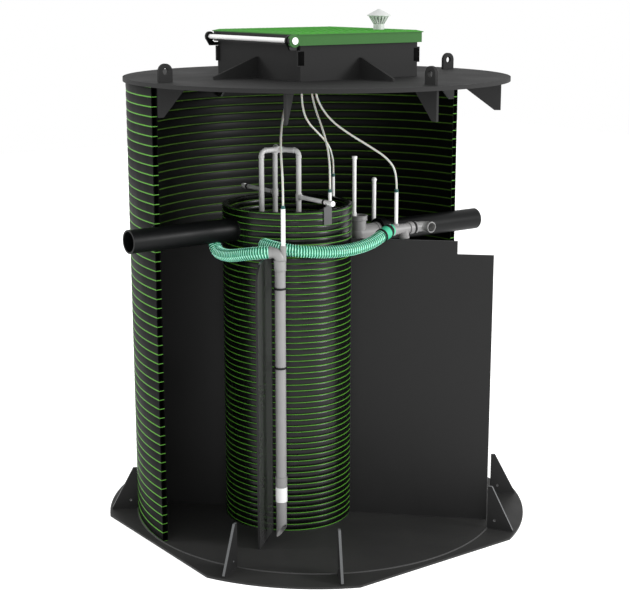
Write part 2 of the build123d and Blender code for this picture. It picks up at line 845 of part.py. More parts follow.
# Rim bracket: a plate hooked over the inner tank's rim, with a clip up to the side pipe
rim_y = -inner_outer_radius - seat_gap
hook_x = leg_places[0][0]
with BuildPart() as rim_bracket:
    with BuildSketch(Plane.YZ.offset(hook_x - hook_width / 2)):
        with BuildLine():
            Polyline(
                (rim_y, inner_top - hook_drop),
                (rim_y, inner_top + seat_gap),
                (rim_y + inner_thickness, inner_top + seat_gap),
                (rim_y + inner_thickness, inner_top + seat_gap + hook_thickness),
                (rim_y, inner_top + seat_gap + hook_thickness),
                (rim_y, inner_top + hook_rise),
                (rim_y - hook_thickness, inner_top + hook_rise),
                (rim_y - hook_thickness, inner_top - hook_drop),
                close=True,
            )
        make_face()
    extrude(amount=hook_width)
    with BuildSketch(Plane.XZ.offset(-rim_y)):
        with Locations((hook_x, (inner_top + side_pipe_z) / 2)):
            Rectangle(clip_width, side_pipe_z - inner_top)
        with Locations((hook_x, side_pipe_z)):
            Circle(side_pipe_radius + seat_gap, mode=Mode.SUBTRACT)
    extrude(amount=hook_thickness)
finish(rim_bracket.part, "rim_bracket")

# Delivery tee: a level run with bell ends and a stub below
with BuildPart() as delivery_tee:
    with BuildSketch(Plane.YZ.offset(delivery_left)):
        with Locations((delivery_y, delivery_z)):
            Circle(delivery_radius)
    extrude(amount=delivery_right - delivery_left)
    with BuildSketch(Plane.YZ.offset(delivery_right - delivery_bell_length)):
        with Locations((delivery_y, delivery_z)):
            Circle(delivery_bell_radius)
    extrude(amount=delivery_bell_length)
    with BuildSketch(Plane.XY.offset(delivery_z - delivery_stub_drop)):
        with Locations((delivery_stub_x, delivery_y)):
            Circle(delivery_stub_radius)
    extrude(amount=delivery_stub_drop)
    with BuildSketch(Plane.XY.offset(delivery_z)):
        with Locations((delivery_tube_x, delivery_y)):
            Circle(delivery_boss_radius)
    extrude(amount=delivery_top - delivery_z)
    with BuildSketch(Plane.XY.offset(delivery_z - delivery_stub_drop)):
        with Locations((delivery_stub_x, delivery_y)):
            Circle(delivery_stub_radius - delivery_wall)
    extrude(amount=delivery_stub_drop, mode=Mode.SUBTRACT)
    with BuildSketch(Plane.YZ.offset(delivery_left)):
        with Locations((delivery_y, delivery_z)):
            Circle(delivery_radius - delivery_wall)
    extrude(amount=delivery_right - delivery_left, mode=Mode.SUBTRACT)
finish(delivery_tee.part, "delivery_tee")

# Delivery elbow: turns the run to an open end that faces the front
elbow_start = delivery_right + delivery_ring_length
elbow_run = delivery_elbow_x - delivery_bend - elbow_start


def delivery_elbow_body(radius):
    with BuildPart() as body:
        with BuildSketch(Plane.YZ.offset(elbow_start)):
            with Locations((delivery_y, delivery_z)):
                Circle(radius)
        extrude(amount=elbow_run)
        with BuildSketch(Plane.YZ.offset(elbow_start + elbow_run)):
            with Locations((delivery_y, delivery_z)):
                Circle(radius)
        revolve(
            axis=Axis((elbow_start + elbow_run, delivery_y - delivery_bend, 0), (0, 0, -1)),
            revolution_arc=90,
        )
        with BuildSketch(Plane.XZ.offset(delivery_bend - delivery_y)):
            with Locations((delivery_elbow_x, delivery_z)):
                Circle(radius)
        extrude(amount=delivery_elbow_reach - delivery_bend)
    return body.part


with BuildPart() as delivery_elbow:
    add(delivery_elbow_body(delivery_radius))
    add(delivery_elbow_body(delivery_radius - delivery_wall), mode=Mode.SUBTRACT)
finish(delivery_elbow.part, "delivery_elbow")

# Rubber rings: on the side pipes, between tee and elbow, and the clamp on the hose cuff
cuff_dir = (-cos(radians(cuff_angle)), -sin(radians(cuff_angle)))
cuff_end = (delivery_left + cuff_length * cuff_dir[0], delivery_y + cuff_length * cuff_dir[1])
cuff_plane = Plane(origin=(delivery_left, delivery_y, delivery_z), z_dir=(*cuff_dir, 0))
with BuildPart() as rubber_rings:
    for leg, ring_y in ((leg_places[0], ring_front_y), (leg_places[1], ring_back_y)):
        with BuildSketch(Plane.XZ.offset(-ring_y)):
            with Locations((leg[0], side_pipe_z)):
                Circle(ring_radius)
                Circle(side_pipe_radius + seat_gap, mode=Mode.SUBTRACT)
        extrude(amount=ring_length / 2, both=True)
    with BuildSketch(Plane.YZ.offset(delivery_right)):
        with Locations((delivery_y, delivery_z)):
            Circle(delivery_bell_radius)
            Circle(delivery_radius - delivery_wall, mode=Mode.SUBTRACT)
    extrude(amount=delivery_ring_length)
    with BuildSketch(cuff_plane.offset(cuff_length - clamp_ring_length)):
        Circle(clamp_ring_radius)
        Circle(cuff_radius + seat_gap, mode=Mode.SUBTRACT)
    extrude(amount=clamp_ring_length)
finish(rubber_rings.part, "rubber_rings")

# Hose cuff: leans towards the front from the tee's left end, mitred where it meets the tee
with BuildPart() as hose_cuff:
    with BuildSketch(cuff_plane.offset(-cuff_length)):
        Circle(cuff_radius)
        Circle(cuff_radius - 2 * delivery_wall, mode=Mode.SUBTRACT)
    extrude(amount=2 * cuff_length)
    with Locations((delivery_left + cuff_length, delivery_y, delivery_z)):
        Box(2 * cuff_length, 4 * cuff_length, 4 * cuff_length, mode=Mode.SUBTRACT)
finish(hose_cuff.part, "hose_cuff")

# Hose routes: the corners of each free hose, chosen by hand
gland_end = -riser_inside + gland_length
gland_z = total_height + 76
lift_hose_route = [
    (gland_end, -90, gland_z),
    (-262, -90, gland_z),
    (-212, -88, 2245),
    (-192, -84, 2190),
    (-205, -82, 2140),
    (-245, -104, 2104),
    (-292, -146, 2062),
    (-345, -200, 2004),
    (-392, -256, 1938),
    (-430, -312, 1862),
    (lift_tube_x, lift_tube_y, 1760),
    (lift_tube_x, lift_tube_y, lift_tube_top + connector_height),
]
rear_hose_route = [
    (gland_end, -60, gland_z),
    (-245, -60, gland_z),
    (-170, -56, 2250),
    (-126, -46, 2195),
    (-117, -38, 2110),
    (-108, -36, 2030),
    (-66, -22, 1967),
    (14, -8, 1905),
    (90, 22, 1850),
    (rear_tube_x - 12, rear_tube_y - 12, 1775),
    (rear_tube_x, rear_tube_y, 1725),
    (rear_tube_x, rear_tube_y, rear_tube_top + connector_height),
]
front_hose_route = [
    (gland_end, -120, gland_z),
    (-240, -120, gland_z + 2),
    (-155, -112, 2258),
    (-104, -94, 2200),
    (-92, -84, 2115),
    (-89, -112, 2040),
    (-90, -160, 1968),
    (-95, -208, 1895),
    (-104, -242, 1820),
    (front_tube_x, front_tube_y, 1745),
    (front_tube_x, front_tube_y, front_tube_top + connector_height),
]
delivery_hose_route = [
    (gland_end, -150, gland_z),
    (-235, -150, gland_z + 4),
    (-145, -142, 2262),
    (-94, -118, 2200),
    (-84, -104, 2115),
    (-58, -118, 2045),
    (-14, -151, 1978),
    (56, -203, 1917),
    (130, -264, 1860),
    (192, -318, 1806),
    (delivery_tube_x, delivery_y, 1740),
    (delivery_tube_x, delivery_y, delivery_tube_top + connector_height),
]
return_hose_route = [
    (elbow_end[0], elbow_end[1], elbow_z),
    (elbow_end[0] + 40 * elbow_dir[0], elbow_end[1] + 40 * elbow_dir[1], elbow_z - 2),
    (-577, -215, 1410),
    (-590, -130, 1391),
    (-597, -60, 1389),
    (-598, -14, 1402),
    (-598, -2, inlet_z - pipe_radius),
]
delivery_spiral_route = [
    (cuff_end[0], cuff_end[1], delivery_z),
    (cuff_end[0] + 55 * cuff_dir[0], cuff_end[1] + 55 * cuff_dir[1], delivery_z - 12),
    (30, -400, 1424),
    (-70, -408, 1409),
    (-175, -405, 1406),
    (-275, -384, 1412),
    (-366, -344, 1421),
    (-431, -268, 1431),
    (inner_x - 262, -179, 1438),
]


def bend_radii(route):
    """As large an arc at each corner as its two runs allow."""
    points = [Vector(*p) for p in route]
    radii = []
    for before, here, after in zip(points, points[1:], points[2:]):
        turn = radians((here - before).get_angle(after - here))
        radii.append(0.45 * min((here - before).length, (after - here).length) / tan(turn / 2))
    return radii


def hose(route, radius, name):
    radii = bend_radii(route)
    print(name, "radii", [round(r) for r in radii])
    with BuildPart() as tube:
        with BuildLine() as path:
            FilletPolyline(*route, radius=radii)
        with BuildSketch(Plane(origin=route[0], z_dir=Vector(*route[1]) - Vector(*route[0]))):
            Circle(radius)
        sweep(path=path.line)
    expected = path.wire().length * pi * radius ** 2
    print(name, "length", round(path.wire().length), "volume ratio", round(tube.part.volume / expected, 4))
    finish(tube.part, name)


hose(lift_hose_route, air_hose_radius, "air_hose_1")
hose(rear_hose_route, air_hose_radius, "air_hose_2")
hose(front_hose_route, air_hose_radius, "air_hose_3")
hose(delivery_hose_route, air_hose_radius, "air_hose_4")
hose(return_hose_route, spiral_hose_radius, "return_hose")
hose(delivery_spiral_route, spiral_hose_radius, "delivery_hose")

# Hose connectors on top of the air tubes
air_routes = (lift_hose_route, rear_hose_route, front_hose_route, delivery_hose_route)
with BuildPart() as hose_connectors:
    for x, y, low, high, radius in tubes:
        with BuildSketch(Plane.XY.offset(high)):
            with Locations((x, y)):
                Circle(connector_radius)
        extrude(amount=connector_height)
finish(hose_connectors.part, "hose_connectors")

# Glands on the inside of the riser's left wall, where the four air hoses start
with BuildPart() as hose_glands:
    for route in air_routes:
        with BuildSketch(Plane.YZ.offset(-riser_inside)):
            with Locations((route[0][1], route[0][2])):
                Circle(gland_radius)
        extrude(amount=gland_length)
finish(hose_glands.part, "hose_glands")
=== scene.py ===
import bpy
import bmesh
import json
from math import atan2, cos, pi, radians, sin, sqrt
from mathutils import Matrix, Vector


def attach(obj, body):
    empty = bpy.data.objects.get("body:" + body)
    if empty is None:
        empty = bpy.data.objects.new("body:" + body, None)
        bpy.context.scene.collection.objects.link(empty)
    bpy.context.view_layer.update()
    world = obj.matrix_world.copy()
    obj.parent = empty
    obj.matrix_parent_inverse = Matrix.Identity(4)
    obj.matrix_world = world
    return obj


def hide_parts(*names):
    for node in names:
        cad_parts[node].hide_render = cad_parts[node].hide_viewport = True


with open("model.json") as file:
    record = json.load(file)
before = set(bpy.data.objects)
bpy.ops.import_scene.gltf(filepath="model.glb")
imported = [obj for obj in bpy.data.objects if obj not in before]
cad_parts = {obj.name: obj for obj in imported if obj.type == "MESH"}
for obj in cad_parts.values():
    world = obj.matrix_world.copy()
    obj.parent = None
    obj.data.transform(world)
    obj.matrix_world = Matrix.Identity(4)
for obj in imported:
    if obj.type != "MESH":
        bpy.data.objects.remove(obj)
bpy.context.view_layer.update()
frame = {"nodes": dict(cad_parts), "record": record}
scene = bpy.context.scene
nodes = frame["nodes"]

# Camera, at the photograph's place
scene.render.resolution_x = 630
scene.render.resolution_y = 600
scene.view_settings.view_transform = "Standard"
camera_data = bpy.data.cameras.new("camera")
camera_data.sensor_fit = "HORIZONTAL"
camera_data.sensor_width = 36
camera_data.lens = 78.82
camera_data.shift_x = -0.0025
camera_data.clip_end = 100
camera = bpy.data.objects.new("camera", camera_data)
camera.location = (-3.997, -5.437, 2.621)
camera.rotation_euler = (radians(90 - 12.886), 0, radians(-36.32))
scene.collection.objects.link(camera)
scene.camera = camera

# Sizes in metres, as in the CAD
WALL_IN, WALL_OUT = 0.888, 0.918
WALL_LOW, WALL_TOP = 0.010, 2.175
PITCH = (WALL_TOP - WALL_LOW) / 49
INNER_X, INNER_IN, INNER_OUT, INNER_TOP = -0.178, 0.286, 0.316, 1.588
INNER_PITCH = 0.02952
INLET_Z, OUTLET_Z, PIPE = 1.488, 1.388, 0.055
RISER, DECK, LID_TOP = 0.343, 2.194, 2.411
VENT_X, VENT_Y = 0.230, -0.190
LIFT = Vector((-0.469, -0.356, 0))


# Materials
def rgb(code):
    """A colour written as six hex digits, as the linear values that Blender uses."""
    part = [int(code[i:i + 2], 16) / 255 for i in (0, 2, 4)]
    return [c / 12.92 if c <= 0.04045 else ((c + 0.055) / 1.055) ** 2.4 for c in part] + [1]


def add(tree, kind, props=None, **sockets):
    """A node with its settings, and its sockets set to a value or linked to an output."""
    n = tree.nodes.new("ShaderNode" + kind)
    for key, value in (props or {}).items():
        setattr(n, key, value)
    for key, value in sockets.items():
        numbered = key[0] == "i" and key[1:].isdigit()
        socket = n.inputs[int(key[1:]) if numbered else key.replace("_", " ")]
        if isinstance(value, bpy.types.NodeSocket):
            tree.links.new(value, socket)
        else:
            socket.default_value = value
    return n


def surface(name, dark, light, rough, cloud, relief, grain, specular=0.5, scratch=0.0,
            subsurface=0.0, metallic=0.0):
    """A material of two close tones that drift, with uneven gloss and a fine relief.

    cloud and grain count how often their patterns repeat in a metre: a cloud of 8 is 125 mm wide
    and a grain of 300 is about 3 mm. Real mould and extrusion marks are under a millimetre, too
    fine to show, so the grain is drawn as coarse as it needs to be. Scratches are level lines.
    """
    m = bpy.data.materials.new(name)
    m.use_nodes = True
    t = m.node_tree
    shader = t.nodes["Principled BSDF"]
    place = add(t, "TexCoord")
    stretch = add(t, "Mapping", i0=place.outputs["Object"], i3=cloud)
    drift = add(t, "TexNoise", i0=stretch.outputs[0], Scale=1.0, Detail=5.0, Roughness=0.6)
    tone = add(t, "Mix", {"data_type": "RGBA"}, i0=drift.outputs[0], i6=rgb(dark), i7=rgb(light))
    gloss = add(t, "MapRange", i0=drift.outputs[0], i1=0.3, i2=0.7, i3=rough[0], i4=rough[1])
    fine = add(t, "TexNoise", i0=place.outputs["Object"], Scale=float(grain), Detail=4.0)
    height = fine.outputs[0]
    if scratch:
        lines = add(t, "Mapping", i0=place.outputs["Object"], i3=(6, 6, 260))
        streak = add(t, "TexNoise", i0=lines.outputs[0], Scale=1.0, Detail=2.0)
        both = add(t, "Math", {"operation": "MULTIPLY_ADD"}, i0=streak.outputs[0], i1=scratch,
                   i2=height)
        height = both.outputs[0]
    bump = add(t, "Bump", Strength=relief, Distance=0.002, Height=height)
    t.links.new(tone.outputs[2], shader.inputs["Base Color"])
    t.links.new(gloss.outputs[0], shader.inputs["Roughness"])
    t.links.new(bump.outputs[0], shader.inputs["Normal"])
    shader.inputs["Specular IOR Level"].default_value = specular
    shader.inputs["Metallic"].default_value = metallic
    if subsurface:
        shader.inputs["Subsurface Weight"].default_value = subsurface
        shader.inputs["Subsurface Scale"].default_value = 0.004
    return m


MATERIALS = {
    # Polyethylene sheet, sawn and welded: a matt black with a faint cloud
    "base_sheet": surface("black_welded_sheet", "1f1f1f", "282828", (0.42, 0.6), (3, 3, 3), 0.02, 90,
                          specular=0.15),
    # The same sheet as the floor plate, a little paler: painted light that lifts the shade falling on
    # the floor plate between the walls
    "base_plate": surface("black_floor_sheet_painted_light", "292929", "333332", (0.42, 0.6), (3, 3, 3), 0.02, 90,
                          specular=0.15),
    # The same sheet with its pressed, glossy face outwards: it mirrors the bright room softly, and it is
    # also drawn paler than the black sheet, a painted reflection
    "polished_sheet_painted_reflection": surface("black_polished_sheet_painted_reflection", "2f2f2f", "404040", (0.24, 0.34), (2, 2, 3),
                              0.01, 60, specular=0.6),
    # The narrow edge faces of the sheet that slope up or down: drawn a paler grey, a painted highlight
    # where light falls on the edges
    "painted_edge_highlight": surface("sheet_edge_painted_highlight", "4a4b4c", "5a5c5d", (0.45, 0.6), (8, 8, 8), 0.02, 200),
    # Polyethylene profile, extruded and wound hot: nearly black, with level drag lines
    "profile_wall": surface("black_wound_polyethylene", "040504", "0c0e0c", (0.46, 0.6), (6, 6, 2),
                            0.03, 160, specular=0.05, scratch=0.4),
    # Its inner face, formed smooth on a winding drum: a broad, soft shine
    "profile_inside": surface("black_smooth_polyethylene", "040504", "0b0d0b", (0.34, 0.44),
                              (6, 6, 2), 0.03, 160, specular=0.14, scratch=0.2),
    # The inner tank's profile, with a glossier skin: narrow bright lines on every turn
    "profile_tank": surface("black_gloss_polyethylene", "040504", "0a0c0a", (0.22, 0.32), (6, 6, 2),
                            0.02, 160, specular=0.25, scratch=0.2),
    # Extruded welding strand between the turns: a matt leaf green
    "seam": surface("green_extrusion_weld", "3e7a20", "5c9a35", (0.45, 0.6), (20, 20, 20), 0.08, 260,
                    specular=0.2),
    # The same strand on the inner faces, drawn darker and a little duller: painted shade for the inside
    # of the walls
    "painted_shade_seam": surface("shaded_green_weld", "345718", "507528", (0.45, 0.6), (20, 20, 20), 0.08,
                           260, specular=0.15),
    # Hollow of the cut profile: rough and almost without light
    "cell": surface("wound_profile_cell", "010101", "030303", (0.7, 0.9), (9, 9, 9), 0.05, 90,
                    specular=0.05),
    # Polypropylene sheet, pressed: a dark grey without shine
    "top_sheet": surface("dark_polypropylene_sheet", "272727", "313131", (0.6, 0.75), (4, 4, 4),
                         0.03, 110, specular=0.08),
    # Green polyethylene sheet, moulded: matt and even
    "lid_sheet": surface("green_polyethylene_sheet", "3b6636", "446f3f", (0.6, 0.7), (9, 9, 9),
                         0.08, 150, specular=0.1),
    # The same sheet embossed as a tread: small patches of light and dark green
    "lid_tread": surface("green_embossed_sheet", "125a0a", "54b23e", (0.55, 0.7), (60, 60, 60), 0.4,
                         60, specular=0.08),
    # Injection-moulded ABS: a light grey with a satin shine
    "vent_plastic": surface("grey_moulded_vent", "b6b9b6", "d2d4d2", (0.35, 0.5), (30, 30, 30),
                            0.05, 300),
    # Drawn acetal rod: a clean, slightly glossy white
    "rod_plastic": surface("white_plastic_rod", "f2f2f0", "fbfbfa", (0.3, 0.45), (20, 20, 20), 0.03,
                           200),
    # Extruded polyethylene drain pipe: black, with fine level drag lines
    "black_pipe": surface("black_drain_pipe", "040505", "0d0e0f", (0.38, 0.5), (3, 20, 20), 0.03,
                          140, specular=0.16, scratch=0.3),
    # Moulded and extruded PVC in its usual greys and white: satin, with a small clean highlight
    "grey_pvc": surface("grey_pvc", "7a7979", "8f8e8e", (0.35, 0.5), (12, 12, 12), 0.04, 200),
    "light_pvc": surface("light_grey_pvc", "aeaead", "c4c4c3", (0.32, 0.45), (12, 12, 12), 0.03, 200),
    "mid_pvc": surface("mid_grey_pvc", "7a7a79", "90908f", (0.32, 0.45), (12, 12, 12), 0.03, 200),
    "dark_pvc": surface("dark_grey_pvc", "3e3e3f", "4c4c4d", (0.4, 0.55), (12, 12, 12), 0.04, 200),
    "white_pipe": surface("white_pvc", "dededd", "f0f0ef", (0.28, 0.42), (12, 12, 12), 0.02, 200),
    # Moulded nylon push fitting: a deep teal with a satin shine
    "hose_fitting": surface("teal_push_fitting", "0f3f3c", "1c5a52", (0.3, 0.45), (40, 40, 40), 0.05,
                            300),
    # Soft moulded PVC cuff: mint green, a little waxy
    "mint_cuff": surface("mint_hose_cuff", "2f9e78", "4fc79c", (0.35, 0.5), (30, 30, 30), 0.08, 260),
    # Vulcanised rubber: black, with a dull sheen on bands. Its matt near-black copy without sheen is
    # painted shade, for the slots at the riser's corners
    "black_rubber": surface("black_rubber", "060606", "0e0e0e", (0.55, 0.75), (40, 40, 40), 0.1, 500,
                            specular=0.25),
    "slot_shade_black": surface("matt_black_painted_slot_shade", "020202", "060606", (0.7, 0.85), (40, 40, 40), 0.1,
                            500, specular=0.05),
    # Extruded silicone air hose: a milky grey that lets a little light in
    "air_hose": surface("clear_air_hose", "b9bab3", "d0d1c9", (0.25, 0.4), (30, 30, 30), 0.02, 300,
                        subsurface=0.2),
    # Spiral hose: a stiff pale PVC rib, and a soft clear web that shows deep green
    "hose_rib": surface("mint_hose_rib", "88e6c4", "bef9e4", (0.25, 0.4), (40, 40, 40), 0.03, 300,
                        subsurface=0.1),
    "hose_web": surface("teal_hose_web", "0a6045", "1a8a62", (0.2, 0.35), (40, 40, 40), 0.03, 300),
    # Fillet weld laid by hand: dark grey with small swells
    "weld": surface("grey_weld_bead", "343434", "484848", (0.35, 0.5), (60, 60, 60), 0.2, 500),
    # Stainless steel, turned and rolled: bright and slightly brushed
    "steel": surface("stainless_steel", "8d8f91", "b0b2b4", (0.2, 0.35), (60, 60, 60), 0.03, 400,
                     metallic=1.0),
}

for entry in frame["record"]["subparts"]:
    slot_name = entry["material_slot"].replace("spiral_hose", "hose_rib")
    mesh = nodes[entry["node"]].data
    mesh.materials.clear()
    mesh.materials.append(MATERIALS[slot_name])
# The floor plate gets the paler copy of the black sheet: painted light
for name, kind in (
        # The front baffle gets the paler glossy copy of the sheet: its paler colour is painted
        # reflection
        ("hose_cuff", "mint_cuff"), ("base_plate", "base_plate"), ("front_baffle", "polished_sheet_painted_reflection"),
        ("aerator_manifold", "light_pvc"), ("side_pipes", "white_pipe"),
        ("sampling_tube", "white_pipe"), ("rim_bracket", "dark_pvc"), ("pipe_clamps", "black_rubber"),
        ("hinge_brackets", "black_pipe"), ("delivery_elbow", "mid_pvc"), ("airlift_elbow", "mid_pvc")):
    nodes[name].data.materials[0] = MATERIALS[kind]


def second_material(name, kind, test):
    """Gives the faces of a CAD piece that pass the test one more material."""
    mesh = nodes[name].data
    mesh.materials.append(MATERIALS[kind])
    for face in mesh.polygons:
        if test(face.normal):
            face.material_index = len(mesh.materials) - 1


# Edge faces that slope upwards, and on the top gussets also downwards, get the pale grey: a painted
# highlight on the edges
for name in ("base_gussets", "partition_left", "partition_right"):
    second_material(name, "painted_edge_highlight", lambda n: n.z > 0.1)
BAFFLE_END = Vector((-0.766, -0.643, 0))
second_material("front_baffle", "base_sheet", lambda n: n.dot(BAFFLE_END) > 0.3)
second_material("front_baffle", "painted_edge_highlight", lambda n: n.z > 0.9)
# The green lid skirt's faces turned to -x are drawn in the black sheet: painted shade on that side
second_material("lid_skirt", "base_sheet", lambda n: n.x < -0.9)
second_material("top_gussets", "painted_edge_highlight", lambda n: abs(n.z) > 0.1)
second_material("lid_cover", "lid_tread", lambda n: n.z > 0.5)


# Mesh pieces
def piece(name, bm, kinds, body="plant", smooth=True):
    """Turns a bmesh into an object that rides on a body."""
    bmesh.ops.recalc_face_normals(bm, faces=bm.faces)
    mesh = bpy.data.meshes.new(name)
    bm.to_mesh(mesh)
    bm.free()
    for kind in kinds:
        mesh.materials.append(MATERIALS[kind])
    if smooth:
        mesh.shade_smooth()
        mesh.set_sharp_from_angle(angle=radians(35))
    o = bpy.data.objects.new(name, mesh)
    scene.collection.objects.link(o)
    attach(o, body)
    return o


def frames(points):
    """Each point of a line, with two directions square to the line there that never twist."""
    side = (points[1] - points[0]).normalized().orthogonal().normalized()
    for j, p in enumerate(points):
        along = (points[min(j + 1, len(points) - 1)] - points[max(j - 1, 0)]).normalized()
        side = (side - along * side.dot(along)).normalized()
        yield p, side, along.cross(side)


def tube(bm, points, radius, count, material=lambda j, i: 0):
    """A closed tube along a line. radius and material say what they are at ring j and corner i."""
    rows = []
    for j, (p, side, up) in enumerate(frames(points)):
        row = []
        for i in range(count):
            a = 2 * pi * i / count
            row.append(bm.verts.new(p + (side * cos(a) + up * sin(a)) * radius(j, i)))
        rows.append(row)
    for j in range(len(rows) - 1):
        for i in range(count):
            k = (i + 1) % count
            f = bm.faces.new((rows[j][i], rows[j][k], rows[j + 1][k], rows[j + 1][i]))
            f.material_index = material(j, i)
    bm.faces.new(rows[0])
    bm.faces.new(rows[-1])


def join(bm, part):
    """Moves all of one bmesh into another. A spin is far quicker in a bmesh of its own."""
    mesh = bpy.data.meshes.new("part")
    part.to_mesh(mesh)
    part.free()
    bm.from_mesh(mesh)
    bpy.data.meshes.remove(mesh)


def wire(bm, points):
    """Vertices joined by edges, ready to be spun."""
    line = [bm.verts.new(p) for p in points]
    return line + [bm.edges.new(pair) for pair in zip(line, line[1:])]


def lathe(bm, origin, axis, profile, count=32):
    """A profile of (distance along, radius) pairs, spun once round an axis. Its poles are closed."""
    o, d = Vector(origin), Vector(axis).normalized()
    side = d.orthogonal().normalized()
    bmesh.ops.spin(bm, geom=wire(bm, [o + d * along + side * r for along, r in profile]), cent=o,
                   axis=d, angle=2 * pi, steps=count, use_merge=True)
    poles = [v for v in bm.verts if (v.co - o).cross(d).length < 0.00001]
    bmesh.ops.remove_doubles(bm, verts=poles, dist=0.00001)


# Cords: the same corners as the CAD tubes, as smooth curves
def metres(points):
    """Points in millimetres, as in the CAD, turned to metres."""
    return [Vector(p) / 1000 for p in points]


AIR_HOSES = {
    "air_hose_1": (0.873, metres([
        (-315, -90, 2270), (-262, -90, 2270), (-212, -88, 2245), (-192, -84, 2190), (-205, -82, 2140),
        (-245, -104, 2104), (-292, -146, 2062), (-345, -200, 2004), (-392, -256, 1938),
        (-430, -312, 1862), (-457.5, -365.6, 1760), (-457.5, -365.6, 1644)])),
    "air_hose_2": (0.840, metres([
        (-315, -60, 2270), (-245, -60, 2270), (-170, -56, 2250), (-126, -46, 2195), (-117, -38, 2110),
        (-108, -36, 2030), (-66, -22, 1967), (14, -8, 1905), (90, 22, 1850), (146, 62, 1775),
        (158, 74, 1725), (158, 74, 1694)])),
    "air_hose_3": (0.802, metres([
        (-315, -120, 2270), (-240, -120, 2272), (-155, -112, 2258), (-104, -94, 2200), (-92, -84, 2115),
        (-89, -112, 2040), (-90, -160, 1968), (-95, -208, 1895), (-104, -242, 1820), (-115, -263, 1745),
        (-115, -263, 1678)])),
    "air_hose_4": (0.969, metres([
        (-315, -150, 2270), (-235, -150, 2274), (-145, -142, 2262), (-94, -118, 2200), (-84, -104, 2115),
        (-58, -118, 2045), (-14, -151, 1978), (56, -203, 1917), (130, -264, 1860), (192, -318, 1806),
        (223, -347, 1740), (223, -347, 1659)])),
}
SPIRAL_HOSES = {
    "return_hose": (0.368, metres([
        (-508.1, -323.2, 1428), (-538.7, -297.5, 1426), (-577, -215, 1410), (-590, -130, 1391),
        (-597, -60, 1389), (-598, -14, 1402), (-598, -2, 1433)])),
    "delivery_hose": (0.735, metres([
        (160.5, -360.6, 1461), (109.2, -380.3, 1449), (30, -400, 1424), (-70, -408, 1409),
        (-175, -405, 1406), (-275, -384, 1412), (-366, -344, 1421), (-431, -268, 1431),
        (-440, -179, 1438)])),
}


def route_curve(name, points):
    """A smooth curve pulled towards the corners of a route."""
    curve = bpy.data.curves.new(name, "CURVE")
    curve.dimensions = "3D"
    curve.resolution_u = 12
    spline = curve.splines.new("NURBS")
    spline.points.add(len(points) - 1)
    for target, p in zip(spline.points, points):
        target.co = (*p, 1)
    spline.order_u = 3
    spline.use_endpoint_u = True
    return curve


for name, (length, points) in AIR_HOSES.items():
    curve = route_curve(name + "_line", points)
    curve.bevel_depth = 0.005
    curve.bevel_resolution = 5
    curve.use_fill_caps = True
    curve.materials.append(MATERIALS["air_hose"])
    hose = bpy.data.objects.new(name + "_line", curve)
    scene.collection.objects.link(hose)
    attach(hose, "plant")
    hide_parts(name)
    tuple(points[0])


def spaced(points, step):
    """The same line with its points a fixed distance apart."""
    out, left = [points[0].copy()], step
    for a, b in zip(points, points[1:]):
        run, at = (b - a).length, 0.0
        while run - at >= left:
            at += left
            out.append(a.lerp(b, at / run))
            left = step
        left -= run - at
    if (out[-1] - points[-1]).length > step * 0.4:
        out.append(points[-1].copy())
    return out


# Spiral hose: rings in a turn of its rib, corners in a ring, and half the width of the rib and
# of its pale part, as parts of a turn
RIB_PITCH, RIB_STEPS, RIB_SIDES = 0.0120, 6, 24
WEB_RADIUS, RIB_HEIGHT, HALF_WIDTH, HALF_PALE = 0.0262, 0.0038, 0.22, 0.17


def rib_distance(j, i):
    """How far ring j, corner i of a spiral hose is from the middle of the rib, in turns."""
    turn = (j / RIB_STEPS - i / RIB_SIDES) % 1
    return min(turn, 1 - turn)


def rib_radius(j, i):
    """A rounded rib that stands out from the web."""
    return WEB_RADIUS + RIB_HEIGHT * sqrt(max(0, 1 - (rib_distance(j, i) / HALF_WIDTH) ** 2))


def rib_or_web(j, i):
    """Material of a face: 0 on the rib, 1 on the web."""
    return 0 if rib_distance(j + 0.5, i + 0.5) < HALF_PALE else 1


def spiral_hose(name, points):
    """A smooth-bored hose whose stiff rib winds round it: the rib stands out, the web sits between."""
    line = bpy.data.objects.new("line", route_curve("line", points))
    scene.collection.objects.link(line)
    bpy.context.view_layer.update()
    depsgraph = bpy.context.evaluated_depsgraph_get()
    mesh = bpy.data.meshes.new_from_object(line.evaluated_get(depsgraph))
    track = [v.co.copy() for v in mesh.vertices]
    if (track[0] - points[0]).length > (track[-1] - points[0]).length:
        track.reverse()
    bpy.data.objects.remove(line)
    bpy.data.meshes.remove(mesh)
    bm = bmesh.new()
    tube(bm, spaced(track, RIB_PITCH / RIB_STEPS), rib_radius, RIB_SIDES, rib_or_web)
    o = piece(name + "_ribbed", bm, ["hose_rib", "hose_web"])
    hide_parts(name)
    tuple(points[0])
    return track


TRACKS = {name: spiral_hose(name, points) for name, (length, points) in SPIRAL_HOSES.items()}

# Soft sleeve over the start of the delivery hose, and the two bands that clamp it
start = spaced(TRACKS["delivery_hose"], 0.004)
bm = bmesh.new()
tube(bm, start[:17], lambda j, i: 0.0330 if 0 < j < 16 else 0.0318, 24)
piece("hose_sleeve", bm, ["mint_cuff"])
bm = bmesh.new()
tube(bm, start[13:17], lambda j, i: 0.0344, 24)
tube(bm, [start[0].lerp(start[1], 0.2)] + start[1:4], lambda j, i: 0.0340, 24)
piece("sleeve_clamps", bm, ["black_rubber"])


# Wound walls: each turn of the profile is a crowned band with a weld along both its edges. A
# pair is a height in the turn, as a part of the pitch, and how deep the face lies there.
BAND = ((0.0, 0.0002), (0.045, 0.0007), (0.07, 0.0022), (0.12, 0.0014), (0.22, 0.0006), (0.5, 0.0),
        (0.78, 0.0006), (0.88, 0.0014), (0.93, 0.0022), (0.955, 0.0007))
WELD_EDGE = 0.07
# The inner faces' welds take the darker green copy of the strand: painted shade
WALL_KINDS = ["profile_wall", "seam", "cell", "painted_shade_seam", "profile_inside"]
TANK_KINDS = ["profile_tank", "seam", "painted_shade_seam"]


